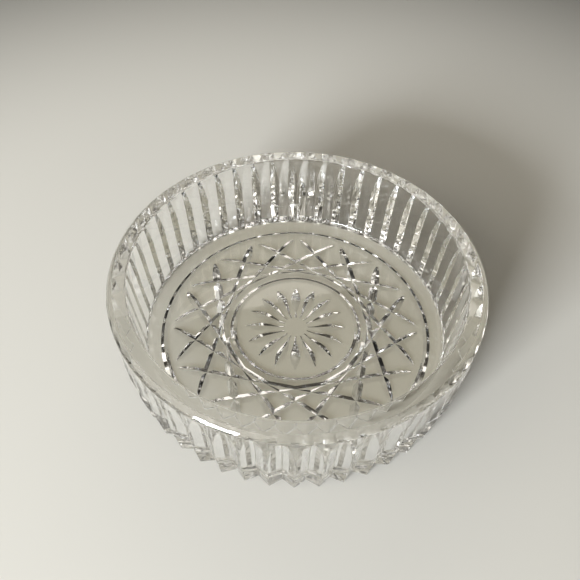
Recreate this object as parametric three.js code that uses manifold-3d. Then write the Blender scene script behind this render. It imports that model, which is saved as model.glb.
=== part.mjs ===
// Crystal bottle coaster: a shallow round dish of clear cut glass.
// Units are millimetres, +Z is up, and the origin is the centre of the base on the table.
// The real dish is one piece of glass. It is drawn in three sections that meet face to face
// on level planes: the base with its cut pattern, the fluted wall, and the bevelled rim.
import * as THREE from 'three';
import { mergeVertices } from 'three/addons/utils/BufferGeometryUtils.js';
import Module from 'manifold-3d';

const wasm = await Module();
wasm.setup();

// Overall size
const OUTER_DIAMETER = 127;
const HEIGHT = 37.5;

// Wall, floor and rim
const WALL_AT_RIM = 6.7;
const WELL_DRAFT = 1.6;
const FLOOR_THICKNESS = 6;
const WELL_FILLET = 3;
const BEVEL_WIDTH = 2.1;
const BEVEL_DROP = 1.9;
const RIM_EDGE_EASE = 0.4;

// Flutes: V cuts that stand side by side round the outside of the wall
const FLUTE_COUNT = 48;
const FLUTE_FACET_DEGREES = 33;
const FOOT_INSET = 2.05;
const BEND_INSET = 0.15;
const BEND_HEIGHT = 15;
const FLUTE_TO_BEVEL = 0.3;

// Pattern cut into the underside of the base, from the outside in
const PATTERN_COUNT = 16;
const RING_HALF_WIDTH = 1.2;
const RING_DEPTH = 0.87;
const OUTER_RING_INSET = 2.7;
const LATTICE_TO_RING = 3.6;
const LATTICE_SKIP = 5;
const LATTICE_OPEN_TIPS = 2.4;
const LATTICE_HALF_WIDTH = 1.7;
const LATTICE_DEPTH = 1.2;
const LATTICE_TAPER = 9;
const RING_TO_LATTICE = 3.3;
const STAR_TO_RING = 4.8;
const STAR_HUB_RADIUS = 4.5;
const RAY_HALF_WIDTH = 1.8;
const RAY_DEPTH = 1.25;
const RAY_LEAN = 1.5;

// How finely round shapes are drawn, and how far cutters reach past the glass
const STEPS_PER_FLUTE = 2;
const FILLET_STEPS = 4;
const FILLET_END_DEGREES = 75;
const ARCH_STEPS = 6;
const TAPER_STEPS = 3;
const RAY_STEPS = 6;
const CUTTER_REACH = 1;

// Places worked out from the sizes
const outerRadius = OUTER_DIAMETER / 2;
const wellRimRadius = outerRadius - WALL_AT_RIM;
const wellFootRadius = wellRimRadius - WELL_DRAFT;
const wellFloorRadius = wellFootRadius - WELL_FILLET;
const bevelBottom = HEIGHT - BEVEL_DROP;
const fluteTop = bevelBottom - FLUTE_TO_BEVEL;
const wellFootHeight = FLOOR_THICKNESS + WELL_FILLET;
const outerRingRadius = wellFloorRadius - OUTER_RING_INSET;
const latticeRadius = outerRingRadius - LATTICE_TO_RING;
const latticeMeetRadius = latticeRadius + LATTICE_OPEN_TIPS;
const latticeOffset = latticeMeetRadius * Math.cos((LATTICE_SKIP * Math.PI) / PATTERN_COUNT);
const starRingRadius = latticeOffset - RING_TO_LATTICE;
const starRadius = starRingRadius - STAR_TO_RING;

// Glass
const crystal = new THREE.MeshStandardMaterial({
  color: 0xf4f6f2,
  roughness: 0.04,
  metalness: 0,
  transparent: true,
  opacity: 0.35,
});

// A closed geometry becomes a solid once its shared corners are merged and its empty triangles dropped.
function toSolid(geometry) {
  geometry.deleteAttribute('normal');
  geometry.deleteAttribute('uv');
  const merged = mergeVertices(geometry);
  const corners = merged.index.array;
  const kept = [];
  for (let i = 0; i < corners.length; i += 3) {
    const [a, b, c] = [corners[i], corners[i + 1], corners[i + 2]];
    if (a !== b && b !== c && c !== a) kept.push(a, b, c);
  }
  return new wasm.Manifold(new wasm.Mesh({
    numProp: 3,
    vertProperties: new Float32Array(merged.attributes.position.array),
    triVerts: new Uint32Array(kept),
  }));
}

function toGeometry(solid) {
  const mesh = solid.getMesh();
  const geometry = new THREE.BufferGeometry();
  geometry.setAttribute('position', new THREE.BufferAttribute(mesh.vertProperties, 3));
  geometry.setIndex(new THREE.BufferAttribute(mesh.triVerts, 1));
  geometry.computeVertexNormals();
  return geometry;
}

// Turns an outline of [radius, height] points about the Z axis.
function turned(outline) {
  const points = outline.map(([radius, height]) => new THREE.Vector2(radius, height));
  const geometry = new THREE.LatheGeometry(points, FLUTE_COUNT * STEPS_PER_FLUTE);
  return toSolid(geometry.rotateX(Math.PI / 2));
}

function cutAway(blank, cutters) {
  return cutters.reduce((solid, cutter) => solid.subtract(cutter), blank);
}

// A bar of V section along Z. Its sharp edge lies at x = edgeAt(place) at each place along it,
// and its two sides spread at the given slope until they reach the flat back at x = back.
function vBar(places, edgeAt, back, slope) {
  const section = new THREE.Shape([
    new THREE.Vector2(0, 0),
    new THREE.Vector2(1, -1),
    new THREE.Vector2(1, 1),
  ]);
  const steps = places.length - 1;
  const bar = new THREE.ExtrudeGeometry(section, { depth: steps, steps, bevelEnabled: false });
  const corners = bar.attributes.position;
  for (let i = 0; i < corners.count; i += 1) {
    const place = places[Math.round(corners.getZ(i))];
    const edge = edgeAt(place);
    const halfWidth = (back - edge) / slope;
    const x = corners.getX(i) === 0 ? edge : back;
    corners.setXYZ(i, x, corners.getY(i) * halfWidth, place);
  }
  return bar;
}

// Radius of the well's wall at a height above its fillet
function wellRadiusAt(height) {
  const share = (height - wellFootHeight) / (HEIGHT - wellFootHeight);
  return wellFootRadius + WELL_DRAFT * share;
}

// How much of the full depth is left on the way out of a cut, from 0 at its start to 1 at its end
function roundedEnd(share) {
  return Math.sqrt(Math.max(0, 1 - share * share));
}

// Flute cutters. Where two flutes meet they leave a sharp ridge, which leans in below BEND_HEIGHT.
// Above it the cuts grow shallower in a long arch, so that a land widens between them up to the rim.
const halfPitch = Math.PI / FLUTE_COUNT;
const facetSlope = Math.tan(THREE.MathUtils.degToRad(FLUTE_FACET_DEGREES));
const rootShare = Math.cos(halfPitch) - Math.sin(halfPitch) * facetSlope;
const archHeight = fluteTop - BEND_HEIGHT;

function ridgeRadiusAt(height) {
  return outerRadius - FOOT_INSET + (FOOT_INSET - BEND_INSET) * (height / BEND_HEIGHT);
}

const bendDepth = outerRadius - ridgeRadiusAt(BEND_HEIGHT) * rootShare;

function fluteRootAt(height) {
  if (height <= BEND_HEIGHT) return ridgeRadiusAt(height) * rootShare;
  return outerRadius - bendDepth * roundedEnd((height - BEND_HEIGHT) / archHeight);
}

const fluteHeights = [-CUTTER_REACH];
for (let step = 0; step <= ARCH_STEPS; step += 1) {
  fluteHeights.push(BEND_HEIGHT + archHeight * Math.sin((step / ARCH_STEPS) * (Math.PI / 2)));
}

const fluteCutters = [];
for (let i = 0; i < FLUTE_COUNT; i += 1) {
  const bar = vBar(fluteHeights, fluteRootAt, outerRadius + CUTTER_REACH, facetSlope);
  fluteCutters.push(toSolid(bar.rotateZ((2 * i + 1) * halfPitch)));
}

// Cuts in the underside run along X, with their sharp edge up, before they are moved and turned.
function underCut(places, shareAt, halfWidth, depth, offset, turn) {
  const bar = vBar(places, (place) => -depth * shareAt(place), CUTTER_REACH, depth / halfWidth);
  return toSolid(bar.rotateY(Math.PI / 2).translate(0, offset, 0).rotateZ(turn));
}

// Lattice: long cuts that join every fifth point of the pattern and cross one another
const latticeHalfLength = Math.sqrt(latticeRadius ** 2 - latticeOffset ** 2);
const taperStart = latticeHalfLength - LATTICE_TAPER;
const latticePlaces = [];
for (let step = 0; step <= TAPER_STEPS; step += 1) {
  latticePlaces.push(taperStart + (LATTICE_TAPER * step) / TAPER_STEPS);
}
latticePlaces.unshift(...latticePlaces.map((along) => -along).reverse());

function latticeShareAt(along) {
  return roundedEnd(Math.max(0, Math.abs(along) - taperStart) / LATTICE_TAPER);
}

// Star: leaf-shaped rays that are pointed at both ends. RAY_LEAN above 1 moves the broadest place outwards.
const rayLength = starRadius - STAR_HUB_RADIUS;
const rayPlaces = [];
for (let step = 0; step <= RAY_STEPS; step += 1) {
  rayPlaces.push(STAR_HUB_RADIUS + (rayLength * step) / RAY_STEPS);
}

function rayShareAt(along) {
  const share = Math.min(1, Math.max(0, (along - STAR_HUB_RADIUS) / rayLength));
  return Math.sin(Math.PI * share ** RAY_LEAN);
}

function ringCutter(radius) {
  const foot = (RING_DEPTH + CUTTER_REACH) * (RING_HALF_WIDTH / RING_DEPTH);
  return turned([
    [radius, RING_DEPTH],
    [radius - foot, -CUTTER_REACH],
    [radius + foot, -CUTTER_REACH],
    [radius, RING_DEPTH],
  ]);
}

const patternCutters = [ringCutter(outerRingRadius), ringCutter(starRingRadius)];
for (let i = 0; i < PATTERN_COUNT; i += 1) {
  const onPoint = (2 * i * Math.PI) / PATTERN_COUNT;
  const betweenPoints = onPoint + Math.PI / PATTERN_COUNT;
  patternCutters.push(
    underCut(latticePlaces, latticeShareAt, LATTICE_HALF_WIDTH, LATTICE_DEPTH, latticeOffset, betweenPoints),
    underCut(rayPlaces, rayShareAt, RAY_HALF_WIDTH, RAY_DEPTH, 0, onPoint),
  );
}

// Base: the floor of the dish, with the pattern in its underside and the fluted foot round its edge
function baseDisc() {
  const blank = turned([
    [0, 0],
    [outerRadius, 0],
    [outerRadius, FLOOR_THICKNESS],
    [wellFloorRadius, FLOOR_THICKNESS],
    [0, FLOOR_THICKNESS],
  ]);
  return cutAway(blank, [...fluteCutters, ...patternCutters]);
}

// Wall: a ring with a slight draft inside, a fillet where it meets the floor, and flutes outside
function flutedWall() {
  const outline = [
    [outerRadius, FLOOR_THICKNESS],
    [outerRadius, bevelBottom],
    [wellRadiusAt(bevelBottom), bevelBottom],
  ];
  for (let step = 0; step <= FILLET_STEPS; step += 1) {
    const angle = THREE.MathUtils.degToRad((FILLET_END_DEGREES * step) / FILLET_STEPS);
    outline.push([
      wellFloorRadius + WELL_FILLET * Math.cos(angle),
      wellFootHeight - WELL_FILLET * Math.sin(angle),
    ]);
  }
  const filletEnd = outline[outline.length - 1][0];
  outline.push([filletEnd, FLOOR_THICKNESS], [outerRadius, FLOOR_THICKNESS]);
  return cutAway(turned(outline), fluteCutters);
}

// Rim: level on top, with a broad bevel outside and an eased edge inside
function bevelledRim() {
  return turned([
    [outerRadius, bevelBottom],
    [outerRadius - BEVEL_WIDTH, HEIGHT],
    [wellRimRadius + RIM_EDGE_EASE, HEIGHT],
    [wellRadiusAt(HEIGHT - RIM_EDGE_EASE), HEIGHT - RIM_EDGE_EASE],
    [wellRadiusAt(bevelBottom), bevelBottom],
    [outerRadius, bevelBottom],
  ]);
}

const coaster = new THREE.Group();
const sections = { base_disc: baseDisc(), fluted_wall: flutedWall(), bevelled_rim: bevelledRim() };
for (const [name, solid] of Object.entries(sections)) {
  const mesh = new THREE.Mesh(toGeometry(solid), crystal.clone());
  mesh.name = name;
  coaster.add(mesh);
}

export default coaster;
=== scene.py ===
# %% [markdown]
# # A cut glass bottle coaster
#
# The object is a shallow round dish of clear crystal that a bottle stands in. Its wall is cut into
# upright flutes, its rim is bevelled and polished, and a star, a lattice and two rings are cut into
# the underside, where they show through the floor.
#
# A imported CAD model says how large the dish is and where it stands. This lesson keeps that frame and
# models the glass again inside it, finely enough for light to bend through it as it does in the real one.

# %% Load the frame
import math
import bmesh
import bpy
from mathutils import Matrix, Vector


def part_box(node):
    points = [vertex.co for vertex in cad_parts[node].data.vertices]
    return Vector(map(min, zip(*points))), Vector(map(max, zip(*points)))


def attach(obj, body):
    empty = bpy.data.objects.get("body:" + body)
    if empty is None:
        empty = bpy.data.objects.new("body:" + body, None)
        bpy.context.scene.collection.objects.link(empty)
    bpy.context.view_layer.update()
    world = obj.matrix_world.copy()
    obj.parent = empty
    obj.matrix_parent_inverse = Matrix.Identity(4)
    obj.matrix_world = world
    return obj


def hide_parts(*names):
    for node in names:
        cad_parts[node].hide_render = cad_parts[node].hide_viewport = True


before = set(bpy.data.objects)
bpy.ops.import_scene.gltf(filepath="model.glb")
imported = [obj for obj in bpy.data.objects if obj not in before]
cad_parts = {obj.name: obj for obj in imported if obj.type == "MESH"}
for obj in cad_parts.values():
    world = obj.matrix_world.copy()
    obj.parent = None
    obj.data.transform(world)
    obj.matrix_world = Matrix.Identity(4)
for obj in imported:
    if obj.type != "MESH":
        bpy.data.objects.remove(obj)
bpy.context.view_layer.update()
print("CAD nodes:", sorted(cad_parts))

# %% [markdown]
# ## Sizes
#
# A piece that replaces a CAD node has to fill the same space. So the outside sizes are read from the
# nodes, and only what their boxes can't tell, such as the depth of a cut, is written here in millimetres.

# %% Read the outside sizes from the frame
MM = 0.001
floor_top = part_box("base_disc")[1].z
bevel_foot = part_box("bevelled_rim")[0].z
rim_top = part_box("bevelled_rim")[1].z
outer_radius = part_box("fluted_wall")[1].x
print("outer diameter", round(2 * outer_radius / MM, 2), "mm, height", round(rim_top / MM, 2), "mm")

# %% Name the sizes of the wall, the flutes and the cut pattern
WALL_AT_RIM = 6.7 * MM
WELL_DRAFT = 1.6 * MM
WELL_FILLET = 3 * MM
BEVEL_WIDTH = 2.1 * MM
BEVEL_CROWN = 0.18 * MM
RIM_EASE = 0.8 * MM

FLUTE_COUNT = 48
FLUTE_FACET = math.radians(33)
FOOT_INSET = 2.05 * MM
BEND_INSET = 0.15 * MM
BEND_HEIGHT = 15 * MM
FLUTE_TO_BEVEL = 0.3 * MM

PATTERN_COUNT = 16
OUTER_RING_INSET = 2.7 * MM
RING_HALF_WIDTH = 1.2 * MM
RING_DEPTH = 0.87 * MM
LATTICE_TO_RING = 3.6 * MM
LATTICE_SKIP = 5
LATTICE_OPEN_TIPS = 2.4 * MM
LATTICE_HALF_WIDTH = 1.7 * MM
LATTICE_DEPTH = 1.2 * MM
LATTICE_TAPER = 9 * MM
RING_TO_LATTICE = 3.3 * MM
STAR_TO_RING = 4.8 * MM
STAR_HUB_RADIUS = 4.5 * MM
RAY_HALF_WIDTH = 1.8 * MM
RAY_DEPTH = 1.25 * MM
RAY_LEAN = 1.5

# %% Work out the places that follow from them
well_rim_radius = outer_radius - WALL_AT_RIM
well_foot_radius = well_rim_radius - WELL_DRAFT
well_floor_radius = well_foot_radius - WELL_FILLET
flute_top = bevel_foot - FLUTE_TO_BEVEL
arch_height = flute_top - BEND_HEIGHT
outer_ring_radius = well_floor_radius - OUTER_RING_INSET
lattice_radius = outer_ring_radius - LATTICE_TO_RING
lattice_offset = (lattice_radius + LATTICE_OPEN_TIPS) * math.cos(LATTICE_SKIP * math.pi / PATTERN_COUNT)
star_ring_radius = lattice_offset - RING_TO_LATTICE
star_radius = star_ring_radius - STAR_TO_RING
# Inside the fillet, all that lies lower than this belongs to the cut pattern
pattern_top = floor_top / 2
print("star radius", round(star_radius / MM, 2), "mm, its ring", round(star_ring_radius / MM, 2), "mm")

# %% [markdown]
# ## The blank
#
# The glassmaker starts with a plain blank, turned or pressed to shape, before a cut is made. Its outline
# can be drawn once, as a chain of edges from the centre of the underside round to the centre of the
# floor, and spun about the Z axis. Spinning is the right tool for anything turned. Three arcs soften it:
# the faint crown of the bevel, the eased inner edge of the rim and the fillet at the foot of the well.

# %% Helpers: an arc in an outline, and a shape spun from an outline
SPIN_STEPS = 192
CROWN_STEPS = 4
EASE_STEPS = 4
FILLET_STEPS = 9
SEAM = 1e-7


def arc(centre, radius, start, end, steps):
    """Points of an arc in an outline. Angles are in degrees from the outward direction."""
    angles = [math.radians(start + (end - start) * step / steps) for step in range(steps + 1)]
    return [(centre[0] + radius * math.cos(a), centre[1] + radius * math.sin(a)) for a in angles]


def turned(outline, closed=False):
    """Spin an outline of (radius, height) points about the Z axis."""
    shape = bmesh.new()
    chain = [shape.verts.new((radius, 0, height)) for radius, height in outline]
    ends = chain[1:] + chain[:1] if closed else chain[1:]
    edges = [shape.edges.new(pair) for pair in zip(chain, ends)]
    bmesh.ops.spin(
        shape, geom=chain + edges, axis=(0, 0, 1), angle=math.tau, steps=SPIN_STEPS, use_merge=True
    )
    bmesh.ops.remove_doubles(shape, verts=shape.verts, dist=SEAM)
    bmesh.ops.recalc_face_normals(shape, faces=shape.faces)
    return shape


def piece(shape, name):
    """Turn a bmesh into an object in the scene."""
    mesh = bpy.data.meshes.new(name)
    shape.to_mesh(mesh)
    shape.free()
    made = bpy.data.objects.new(name, mesh)
    bpy.context.scene.collection.objects.link(made)
    return made


# %% Spin the blank
def blank_outline():
    """The section of the dish before it is cut, from the underside round to the floor of the well"""
    well_foot = (well_floor_radius, floor_top + WELL_FILLET)
    rim_edge = (well_rim_radius + RIM_EASE, rim_top - RIM_EASE)
    bevel_drop = rim_top - bevel_foot
    bevel = math.hypot(BEVEL_WIDTH, bevel_drop)
    crown_radius = (bevel ** 2 / 4 + BEVEL_CROWN ** 2) / (2 * BEVEL_CROWN)
    half_sweep = math.degrees(math.asin(bevel / 2 / crown_radius))
    facing = math.degrees(math.atan2(BEVEL_WIDTH, bevel_drop))
    inwards = (crown_radius - BEVEL_CROWN) / bevel
    crown_centre = (
        outer_radius - BEVEL_WIDTH / 2 - bevel_drop * inwards,
        bevel_foot + bevel_drop / 2 - BEVEL_WIDTH * inwards,
    )
    outline = [(0, 0), (outer_radius, 0)]
    outline += arc(crown_centre, crown_radius, facing - half_sweep, facing + half_sweep, CROWN_STEPS)
    outline += arc(rim_edge, RIM_EASE, 90, 180, EASE_STEPS)
    outline += arc(well_foot, WELL_FILLET, 0, -90, FILLET_STEPS)
    return outline + [(0, floor_top)]


dish = piece(turned(blank_outline()), "cut_glass_dish")
print("blank:", len(dish.data.vertices), "vertices")

# %% [markdown]
# ## The cutting wheels
#
# Every cut on this dish is made by a wheel with a V edge, so one helper makes all the cutters: a bar of
# V section whose depth changes along its length. It starts as one open triangle. Extruding its edges from
# place to place, and scaling them about the flat back at each one, keeps the two sides of the V at the
# same slope however deep it cuts, just as a real wheel does. Filling the two holes then closes the bar.
#
# The solver that takes the bars out works on several faces at once, and hands the faces back in an order
# that changes from run to run. What cleans and rounds the mesh afterwards depends on that order. So once a
# set of cuts is made, the mesh is put in a set order, and every run gives the same dish.

# %% Helpers: a V bar, a turn, applied modifiers, a cut and a set order
CUTTER_REACH = 1 * MM


def vee_bar(places, edge_at, slope):
    """A bar along Z. Its sharp edge is at x = edge_at(place) and its flat back is at x = 0."""
    bar = bmesh.new()
    depth = -edge_at(places[0])
    corners = [(-depth, 0, places[0]), (0, depth / slope, places[0]), (0, -depth / slope, places[0])]
    tips = [bar.verts.new(corner) for corner in corners]
    end = [bar.edges.new(pair) for pair in zip(tips, tips[1:] + tips[:1])]
    for before, place in zip(places, places[1:]):
        grown = bmesh.ops.extrude_edge_only(bar, edges=end)["geom"]
        end = [part for part in grown if isinstance(part, bmesh.types.BMEdge)]
        tips = [part for part in grown if isinstance(part, bmesh.types.BMVert)]
        size = edge_at(place) / edge_at(before)
        bmesh.ops.scale(bar, vec=(size, size, 1), verts=tips)
        bmesh.ops.translate(bar, vec=(0, 0, place - before), verts=tips)
    bmesh.ops.holes_fill(bar, edges=bar.edges)
    bmesh.ops.recalc_face_normals(bar, faces=bar.faces)
    return bar


def turn_about(shape, angle, axis):
    """Turn a shape about an axis through the middle of the underside."""
    matrix = Matrix.Rotation(angle, 3, axis)
    bmesh.ops.rotate(shape, cent=(0, 0, 0), matrix=matrix, verts=shape.verts)


def apply_modifiers(body):
    """Make what the body's modifiers show into its mesh."""
    plain = body.data
    depsgraph = bpy.context.evaluated_depsgraph_get()
    body.data = bpy.data.meshes.new_from_object(body.evaluated_get(depsgraph))
    body.modifiers.clear()
    bpy.data.meshes.remove(plain)


def cut(body, cutter):
    """Take the cutter out of the body and throw the cutter away."""
    tool = piece(cutter, "cutter")
    tool_mesh = tool.data
    wheel = body.modifiers.new("cut", "BOOLEAN")
    wheel.operation = "DIFFERENCE"
    wheel.solver = "MANIFOLD"
    wheel.object = tool
    apply_modifiers(body)
    bpy.data.objects.remove(tool)
    bpy.data.meshes.remove(tool_mesh)


def put_in_order(mesh):
    """Sort a mesh's points by place, and its faces by their points."""
    order = sorted(range(len(mesh.vertices)), key=lambda index: mesh.vertices[index].co[:])
    rank = {index: place for place, index in enumerate(order)}
    faces = []
    for face in mesh.polygons:
        corners = [rank[index] for index in face.vertices]
        first = corners.index(min(corners))
        faces.append(corners[first:] + corners[:first])
    ordered = bmesh.new()
    points = [ordered.verts.new(mesh.vertices[index].co) for index in order]
    for corners in sorted(faces):
        ordered.faces.new([points[corner] for corner in corners])
    ordered.to_mesh(mesh)
    ordered.free()


# %% [markdown]
# ## The flutes
#
# Forty-eight upright V cuts stand side by side round the outside. They meet in sharp ridges, which lean
# in towards the foot and give the zigzag edge on the table. In the upper half the cuts grow shallower in
# a long arch that ends just under the bevel, so flat lands open between them. Each cutter is the same
# bar, turned to its own place.

# %% Cut the flutes
half_pitch = math.pi / FLUTE_COUNT
facet_slope = math.tan(FLUTE_FACET)
root_share = math.cos(half_pitch) - math.sin(half_pitch) * facet_slope
flute_depth = outer_radius - (outer_radius - BEND_INSET) * root_share
ARCH_STEPS = 12


def rounded_end(share):
    """How much of the full depth is left on the way out of a cut"""
    return math.sqrt(max(0, 1 - share * share))


def flute_root_at(height):
    """Radius of the bottom of a flute at a height"""
    if height <= BEND_HEIGHT:
        lean = FOOT_INSET - (FOOT_INSET - BEND_INSET) * height / BEND_HEIGHT
        return (outer_radius - lean) * root_share
    return outer_radius - flute_depth * rounded_end((height - BEND_HEIGHT) / arch_height)


flute_back = outer_radius + CUTTER_REACH
arch_turns = [math.pi / 2 * step / ARCH_STEPS for step in range(ARCH_STEPS + 1)]
flute_heights = [-CUTTER_REACH] + [BEND_HEIGHT + arch_height * math.sin(turn) for turn in arch_turns]
for flute in range(FLUTE_COUNT):
    cutter = vee_bar(flute_heights, lambda height: flute_root_at(height) - flute_back, facet_slope)
    bmesh.ops.translate(cutter, vec=(flute_back, 0, 0), verts=cutter.verts)
    turn_about(cutter, (2 * flute + 1) * half_pitch, "Z")
    cut(dish, cutter)
put_in_order(dish.data)
print("flutes:", FLUTE_COUNT, "of", round(flute_depth / MM, 2), "mm")

# %% [markdown]
# ## Polished edges
#
# After cutting, the dish is buffed until it is clear, and the ridges of the flutes and the corners of the
# rim come out a little round. Those small rounds matter more than they seem: each one is a thin bright
# line. A Bevel modifier adds them wherever two facets meet at more than a slight angle. Short edges that
# the cuts left are cleaned away first, because a bevel can't be wider than what it stands on.

# %% Clean the fluted mesh and round its edges
SHORTEST_EDGE = 0.03 * MM
FLAT_ANGLE = math.radians(0.5)
EDGE_ROUND = 0.22 * MM
EDGE_ANGLE = math.radians(16)
ROUND_STEPS = 3

fluted = bmesh.new()
fluted.from_mesh(dish.data)
bmesh.ops.remove_doubles(fluted, verts=fluted.verts, dist=SHORTEST_EDGE)
bmesh.ops.dissolve_limit(fluted, angle_limit=FLAT_ANGLE, verts=fluted.verts, edges=fluted.edges)
fluted.to_mesh(dish.data)
fluted.free()

rounding = dish.modifiers.new("polished edges", "BEVEL")
rounding.width = EDGE_ROUND
rounding.segments = ROUND_STEPS
rounding.limit_method = "ANGLE"
rounding.angle_limit = EDGE_ANGLE
rounding.use_clamp_overlap = False
rounding.miter_outer = "MITER_SHARP"
apply_modifiers(dish)
print("rounded dish:", len(dish.data.vertices), "vertices")

# %% [markdown]
# ## The pattern under the floor
#
# The same wheel cuts the underside. A bar laid flat, sharp edge up, makes a straight cut, and how its
# depth changes gives the cut its shape: a long lattice cut has round ends, and a ray of the star is a
# leaf with a point at each end. The two rings are spun. All of it is cut from below, so the floor that
# the bottle stands on stays smooth.

# %% Cut the lattice and the star
# The least share of its full depth that a bar keeps, so that its ends still have a section
BLUNT = 0.2
LATTICE_STEPS = 8
RAY_STEPS = 12


def under_cut(places, share_at, half_width, depth, offset, turn):
    """Cut along X, move it out by offset and turn it about the middle of the dish."""
    def edge_at(place):
        return -CUTTER_REACH - depth * max(BLUNT, share_at(place))
    cutter = vee_bar(places, edge_at, depth / half_width)
    turn_about(cutter, math.pi / 2, "Y")
    bmesh.ops.translate(cutter, vec=(0, offset, -CUTTER_REACH), verts=cutter.verts)
    turn_about(cutter, turn, "Z")
    cut(dish, cutter)


lattice_half = math.sqrt(lattice_radius ** 2 - lattice_offset ** 2)
taper_start = lattice_half - LATTICE_TAPER
lattice_side = [taper_start + LATTICE_TAPER * step / LATTICE_STEPS for step in range(LATTICE_STEPS + 1)]
lattice_places = [-place for place in reversed(lattice_side)] + lattice_side
ray_length = star_radius - STAR_HUB_RADIUS
ray_places = [STAR_HUB_RADIUS + ray_length * step / RAY_STEPS for step in range(RAY_STEPS + 1)]


def lattice_share_at(along):
    """Share of its full depth that a lattice cut has at a place along it"""
    return rounded_end(max(0, abs(along) - taper_start) / LATTICE_TAPER)


def ray_share_at(along):
    """Share of its full depth that a ray has at a distance from the middle"""
    share = (along - STAR_HUB_RADIUS) / ray_length
    return math.sin(math.pi * min(1, max(0, share)) ** RAY_LEAN)


for point in range(PATTERN_COUNT):
    on_point = math.tau * point / PATTERN_COUNT
    between = on_point + math.pi / PATTERN_COUNT
    under_cut(lattice_places, lattice_share_at, LATTICE_HALF_WIDTH, LATTICE_DEPTH, lattice_offset, between)
    under_cut(ray_places, ray_share_at, RAY_HALF_WIDTH, RAY_DEPTH, 0, on_point)
print("lattice cuts and rays:", 2 * PATTERN_COUNT)

# %% Cut the two rings
ring_foot = (RING_DEPTH + CUTTER_REACH) * RING_HALF_WIDTH / RING_DEPTH
for radius in (outer_ring_radius, star_ring_radius):
    outline = [(radius, RING_DEPTH), (radius - ring_foot, -CUTTER_REACH), (radius + ring_foot, -CUTTER_REACH)]
    cut(dish, turned(outline, closed=True))
put_in_order(dish.data)
print("carved dish:", len(dish.data.vertices), "vertices")

# %% [markdown]
# ## Flat facets, soft edges
#
# Smooth shading would bend the light across every facet, and flat shading would show the steps of the
# spin. Weighted normals do what the real glass does: a large facet keeps its own direction and the small
# rounds beside it take up the turn. The cuts in the underside keep crisp edges, which are marked sharp.

# %% Mark the crisp edges and weight the normals
CRISP_ANGLE = math.radians(20)

shaded = bmesh.new()
shaded.from_mesh(dish.data)
for face in shaded.faces:
    face.smooth = True
for edge in shaded.edges:
    middle = (edge.verts[0].co + edge.verts[1].co) / 2
    in_pattern = middle.xy.length < well_floor_radius and middle.z < pattern_top
    edge.smooth = not (in_pattern and edge.calc_face_angle(0) > CRISP_ANGLE)
shaded.to_mesh(dish.data)
shaded.free()
weighting = dish.modifiers.new("flat facets", "WEIGHTED_NORMAL")
weighting.keep_sharp = True
apply_modifiers(dish)

# %% Measure the finished glass
CUBIC_CENTIMETRE = 1e-6
measured = bmesh.new()
measured.from_mesh(dish.data)
open_edges = [edge for edge in measured.edges if not edge.is_manifold]
print("finished dish:", len(measured.verts), "vertices,", len(open_edges), "open edges")
print("glass:", round(measured.calc_volume() / CUBIC_CENTIMETRE, 1), "cubic centimetres")
measured.free()

# %% [markdown]
# ## Writing a material as sums
#
# Node trees are easier to read as arithmetic. Value wraps a socket, so that adding or multiplying two
# values adds the Math node for it. Finish starts a material, and its method node adds any other node with
# its settings and its inputs.

# %% Helpers: values and finishes
class Value:
    """A socket of a material that can be added and multiplied."""

    def __init__(self, finish, socket):
        self.finish = finish
        self.socket = socket

    def math(self, operation, first, second):
        return self.finish.node("ShaderNodeMath", {"operation": operation}, {0: first, 1: second})

    def __add__(self, other):
        return self.math("ADD", self, other)

    def __mul__(self, other):
        return self.math("MULTIPLY", self, other)

    __radd__ = __add__
    __rmul__ = __mul__


class Finish:
    """A material, or the world, that is built node by node."""

    def __init__(self, owner):
        owner.use_nodes = True
        self.owner = owner
        self.tree = owner.node_tree
        self.tree.nodes.clear()

    def node(self, kind, settings=None, sockets=None, out=0):
        """Add a node, set it up, feed its sockets, and hand back one of its outputs."""
        made = self.tree.nodes.new(kind)
        for name, setting in (settings or {}).items():
            if name == "stops":
                self.set_stops(made.color_ramp.elements, setting)
            else:
                setattr(made, name, setting)
        for name, value in (sockets or {}).items():
            if isinstance(value, Value):
                self.tree.links.new(value.socket, made.inputs[name])
            else:
                made.inputs[name].default_value = value
        return Value(self, made.outputs[out]) if len(made.outputs) else None

    def set_stops(self, elements, stops):
        """Give a colour ramp its (place, colour) stops."""
        while len(elements) < len(stops):
            elements.new(1)
        for element, (place, colour) in zip(elements, stops):
            element.position = place
            element.color = colour


# %% [markdown]
# ## Crystal
#
# Lead crystal is clear, nearly colourless and bends light more than window glass does, which is where
# the sparkle comes from. The Principled shader makes it with Transmission and an index of refraction of
# 1.54. Four finishes share these settings: the polished well, the flutes, the engraved cuts and the rim.
# They differ in how wavy they are, because a wheel leaves a cut face a little rippled.
#
# The light also has to reach what is under the glass. So a ray from a lamp, or one that left the matt
# table, meets a Transparent shader instead of the glass, and each finish says what share of it may pass.
# Real flutes scatter most of the light that falls on them from outside, so there little is let in and the
# dish casts a shadow. Real cuts scatter some of it too, which draws a soft grey halo round each one.

# %% Helper: one kind of crystal
CLEAR_GLASS = (0.995, 0.997, 0.99, 1)
GLASS_BENDS = 1.54
PASSING_LIGHT = (1, 0.99, 0.955, 1)
SMOOTHEST = 0.004
RIPPLE_DETAIL = 2
SMUDGE_SCALE = 90
SMUDGE_DETAIL = 4
SMUDGE_STARTS = 0.45
SMUDGE_FULL = 0.75


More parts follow.
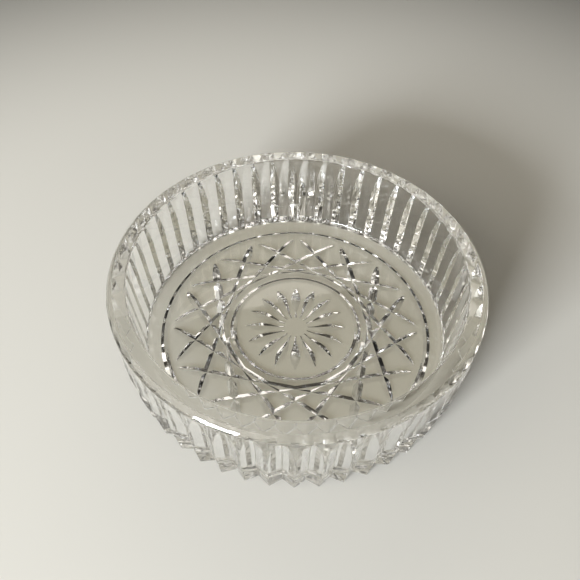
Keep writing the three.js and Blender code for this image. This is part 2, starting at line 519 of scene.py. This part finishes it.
def crystal(name, waviness, wave_length, wave_height, roughest, let_in, let_out):
    """A glass finish.

    waviness, wave_length and wave_height are the depth, width and height of its ripples, and roughest is
    how much rougher a smudge is. let_in and let_out are the shares of lamp light that pass a face each way.
    """
    finish = Finish(bpy.data.materials.new(name))
    place = finish.node("ShaderNodeTexCoord", out="Object")
    across = (1 / wave_length, 1 / wave_length, 1 / wave_height)
    ripples = finish.node("ShaderNodeVectorMath", {"operation": "MULTIPLY"}, {0: place, 1: across})
    waves = finish.node("ShaderNodeTexNoise", None, {"Vector": ripples, "Scale": 1, "Detail": RIPPLE_DETAIL})
    smudges = finish.node(
        "ShaderNodeTexNoise", None, {"Vector": place, "Scale": SMUDGE_SCALE, "Detail": SMUDGE_DETAIL},
    )
    smudge = finish.node(
        "ShaderNodeMapRange", None, {"Value": smudges, "From Min": SMUDGE_STARTS, "From Max": SMUDGE_FULL},
    )
    surface = finish.node("ShaderNodeBump", None, {"Height": waves, "Strength": 1, "Distance": waviness})
    glass = finish.node("ShaderNodeBsdfPrincipled", None, {
        "Base Color": CLEAR_GLASS,
        "Roughness": SMOOTHEST + smudge * roughest,
        "IOR": GLASS_BENDS,
        "Transmission Weight": 1,
        "Normal": surface,
    })
    passing = finish.node("ShaderNodeBsdfTransparent", None, {"Color": PASSING_LIGHT})
    from_lamp = finish.node("ShaderNodeLightPath", out="Is Shadow Ray")
    from_table = finish.node("ShaderNodeLightPath", out="Is Diffuse Ray")
    share = let_in
    if let_in != let_out:
        leaving = finish.node("ShaderNodeNewGeometry", out="Backfacing")
        share = let_in + leaving * (let_out - let_in)
    passed = (from_lamp + from_table) * share
    both = finish.node("ShaderNodeMixShader", None, {0: passed, 1: glass, 2: passing})
    finish.node("ShaderNodeOutputMaterial", None, {"Surface": both})
    return finish.owner


# %% Make the four finishes
finishes = [
    crystal(
        "polished_crystal", waviness=0.006 * MM, wave_length=6 * MM, wave_height=6 * MM,
        roughest=0.02, let_in=0.93, let_out=0.93,
    ),
    crystal(
        "fluted_crystal", waviness=0.01 * MM, wave_length=6 * MM, wave_height=1.8 * MM,
        roughest=0.03, let_in=0.16, let_out=0.74,
    ),
    crystal(
        "engraved_crystal", waviness=0.02 * MM, wave_length=1.3 * MM, wave_height=1.3 * MM,
        roughest=0.03, let_in=0.75, let_out=0.75,
    ),
    crystal(
        "rim_crystal", waviness=0.008 * MM, wave_length=5 * MM, wave_height=5 * MM,
        roughest=0.03, let_in=0.45, let_out=0.45,
    ),
]
POLISHED, FLUTED, ENGRAVED, RIM = range(len(finishes))
print("finishes:", [finish.name for finish in finishes])

# %% Give each face of the dish its finish
OUTSIDE_FROM = 57.5 * MM
LOWEST_CUT = 0.02 * MM


def finish_at(radius, height):
    """Which finish a face has, by where its middle is"""
    if radius > OUTSIDE_FROM and LOWEST_CUT < height < bevel_foot:
        return FLUTED
    if radius < well_floor_radius and LOWEST_CUT < height < pattern_top:
        return ENGRAVED
    if height > bevel_foot:
        return RIM
    return POLISHED


dish.data.materials.clear()
for finish in finishes:
    dish.data.materials.append(finish)
for face in dish.data.polygons:
    face.material_index = finish_at(face.center.xy.length, face.center.z)
fluted_faces = sum(face.material_index == FLUTED for face in dish.data.polygons)
print("fluted faces:", fluted_faces, "of", len(dish.data.polygons))

# %% Fit the dish into the frame
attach(dish, "root")
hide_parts("base_disc", "fluted_wall", "bevelled_rim")

# %% [markdown]
# ## Table
#
# Glass has no colour of its own, so the table decides much of how it looks. A plain pale surface shows
# through every clear face. Well away from the dish a painted shade darkens its colour, standing in for the
# fall of the light outside the lamps, and that gives the steep facets something dark to mirror.

# %% Lay the table
TABLE_HALF = 3
TABLE_GAP = 0.02 * MM
PALE = (0.66, 0.64, 0.57, 1)
# The dark colour is painted shade for light falling off far from the dish, not the table's own colour
PAINTED_SHADE = (0.03, 0.029, 0.026, 1)
# Distances from the middle of the dish, in metres, where the painted shade starts and where it is full
PAINTED_SHADE_STARTS = 0.15
PAINTED_SHADE_FULL_FROM = 0.5
TABLE_ROUGHNESS = 0.5
TABLE_SHINE = 0.3
table_shape = bmesh.new()
bmesh.ops.create_grid(table_shape, x_segments=1, y_segments=1, size=TABLE_HALF)
bmesh.ops.translate(table_shape, vec=(0, 0, -TABLE_GAP), verts=table_shape.verts)
table = piece(table_shape, "table")

matt = Finish(bpy.data.materials.new("pale_table_painted_shade"))
spot = matt.node("ShaderNodeTexCoord", out="Object")
distance = matt.node("ShaderNodeVectorMath", {"operation": "LENGTH"}, {0: spot}, out="Value")
# The table's pale colour fades into painted shade with distance from the dish
away = matt.node(
    "ShaderNodeMapRange", {"interpolation_type": "SMOOTHSTEP"},
    {"Value": distance, "From Min": PAINTED_SHADE_STARTS, "From Max": PAINTED_SHADE_FULL_FROM},
)
colour_with_painted_shade = matt.node("ShaderNodeValToRGB", {"stops": [(0, PALE), (1, PAINTED_SHADE)]}, {"Fac": away})
top = matt.node("ShaderNodeBsdfPrincipled", None, {
    "Base Color": colour_with_painted_shade,
    "Roughness": TABLE_ROUGHNESS,
    "Specular IOR Level": TABLE_SHINE,
})
matt.node("ShaderNodeOutputMaterial", None, {"Surface": top})
table.data.materials.append(matt.owner)

# %% [markdown]
# ## Light
#
# Cut glass wants contrast. A small lamp stands low in front on the left, like a window, and throws the
# shadow to the back right. Round it hangs a wide, dim panel, and facets that look that way turn white. A
# panel behind the dish does the same for the cuts under the floor, and a faint one overhead in front
# fills in. Facets that look between the panels find only a dim room and turn dark, side by side with the
# white ones.

# %% Fill the room with faint light
LIGHT_STRENGTH = 0.06
CEILING = (0.9, 0.8, 0.64, 1)
HORIZON = (0.14, 0.14, 0.14, 1)
HORIZON_UP_TO = 0.3
CEILING_FROM = 0.45
room = Finish(bpy.data.worlds.new("studio"))
direction = room.node("ShaderNodeTexCoord", out="Generated")
upward = room.node("ShaderNodeSeparateXYZ", None, {0: direction}, out="Z")
stops = [(0, HORIZON), (HORIZON_UP_TO, HORIZON), (CEILING_FROM, CEILING), (1, CEILING)]
sky = room.node("ShaderNodeValToRGB", {"stops": stops}, {"Fac": upward})
glow = room.node("ShaderNodeBackground", None, {"Color": sky, "Strength": LIGHT_STRENGTH})
room.node("ShaderNodeOutputWorld", None, {"Surface": glow})
bpy.context.scene.world = room.owner

# %% Stand the lamp in front on the left and hang the three panels
def soft_lamp(name, place, width, depth, watts, colour):
    """A flat rectangular lamp that points at the middle of the dish"""
    lamp = bpy.data.lights.new(name, "AREA")
    lamp.shape = "RECTANGLE"
    lamp.size = width
    lamp.size_y = depth
    lamp.energy = watts
    lamp.color = colour
    stand = bpy.data.objects.new(name, lamp)
    bpy.context.scene.collection.objects.link(stand)
    stand.location = place
    stand.rotation_euler = (-stand.location).to_track_quat("-Z", "Y").to_euler()


DAYLIGHT = (0.89, 0.93, 1)
LAMPLIGHT = (1, 0.95, 0.87)
soft_lamp("window", (-0.756, -1.04, 0.4), width=0.5, depth=0.34, watts=43, colour=DAYLIGHT)
soft_lamp("front_panel", (0.1, -0.45, 1.15), width=1.1, depth=1.1, watts=0.3, colour=LAMPLIGHT)
soft_lamp("left_panel", (-1.2, -0.95, 0.9), width=2.4, depth=1.2, watts=20, colour=LAMPLIGHT)
soft_lamp("back_panel", (-0.3, 1.15, 1.05), width=2, depth=0.6, watts=4.4, colour=LAMPLIGHT)

# %% [markdown]
# ## Camera
#
# The camera looks down into the dish from close by, which makes the near rim look wide and the far one
# narrow. It is placed by the point that it looks at and its own place, and rolled by a little more than
# a degree, as a camera held in the hand is.

# %% Place the camera
CAMERA_PLACE = Vector((-3.28, -134.12, 186.93)) * MM
CAMERA_TARGET = Vector((-2.38, 10.52, 12.0)) * MM
CAMERA_ROLL = math.radians(1.37)
SENSOR_WIDTH_MM = 36
LENS_MM = 37.05
camera = bpy.data.cameras.new("camera")
camera.sensor_width = SENSOR_WIDTH_MM
camera.lens = LENS_MM
camera.clip_start = 1 * MM
viewer = bpy.data.objects.new("camera", camera)
bpy.context.scene.collection.objects.link(viewer)
aim = (CAMERA_TARGET - CAMERA_PLACE).to_track_quat("-Z", "Y").to_matrix().to_4x4()
viewer.matrix_world = Matrix.Translation(CAMERA_PLACE) @ aim @ Matrix.Rotation(CAMERA_ROLL, 4, "Z")
bpy.context.scene.camera = viewer

# %% [markdown]
# ## Render settings
#
# Light crosses many faces on its way through a cut dish, so the rays may bounce often. The Transparent
# shader already lets the lamp through the glass, so true caustics stay off, or the table under the dish
# would be lit twice.

# %% Set the view and the bounces
THROUGH_GLASS = 24
OFF_GLASS = 16
STRAIGHT_THROUGH = 16
scene = bpy.context.scene
scene.view_settings.view_transform = "Standard"
scene.cycles.max_bounces = THROUGH_GLASS
scene.cycles.transmission_bounces = THROUGH_GLASS
scene.cycles.glossy_bounces = OFF_GLASS
scene.cycles.transparent_max_bounces = STRAIGHT_THROUGH
scene.cycles.caustics_refractive = False
scene.cycles.caustics_reflective = False
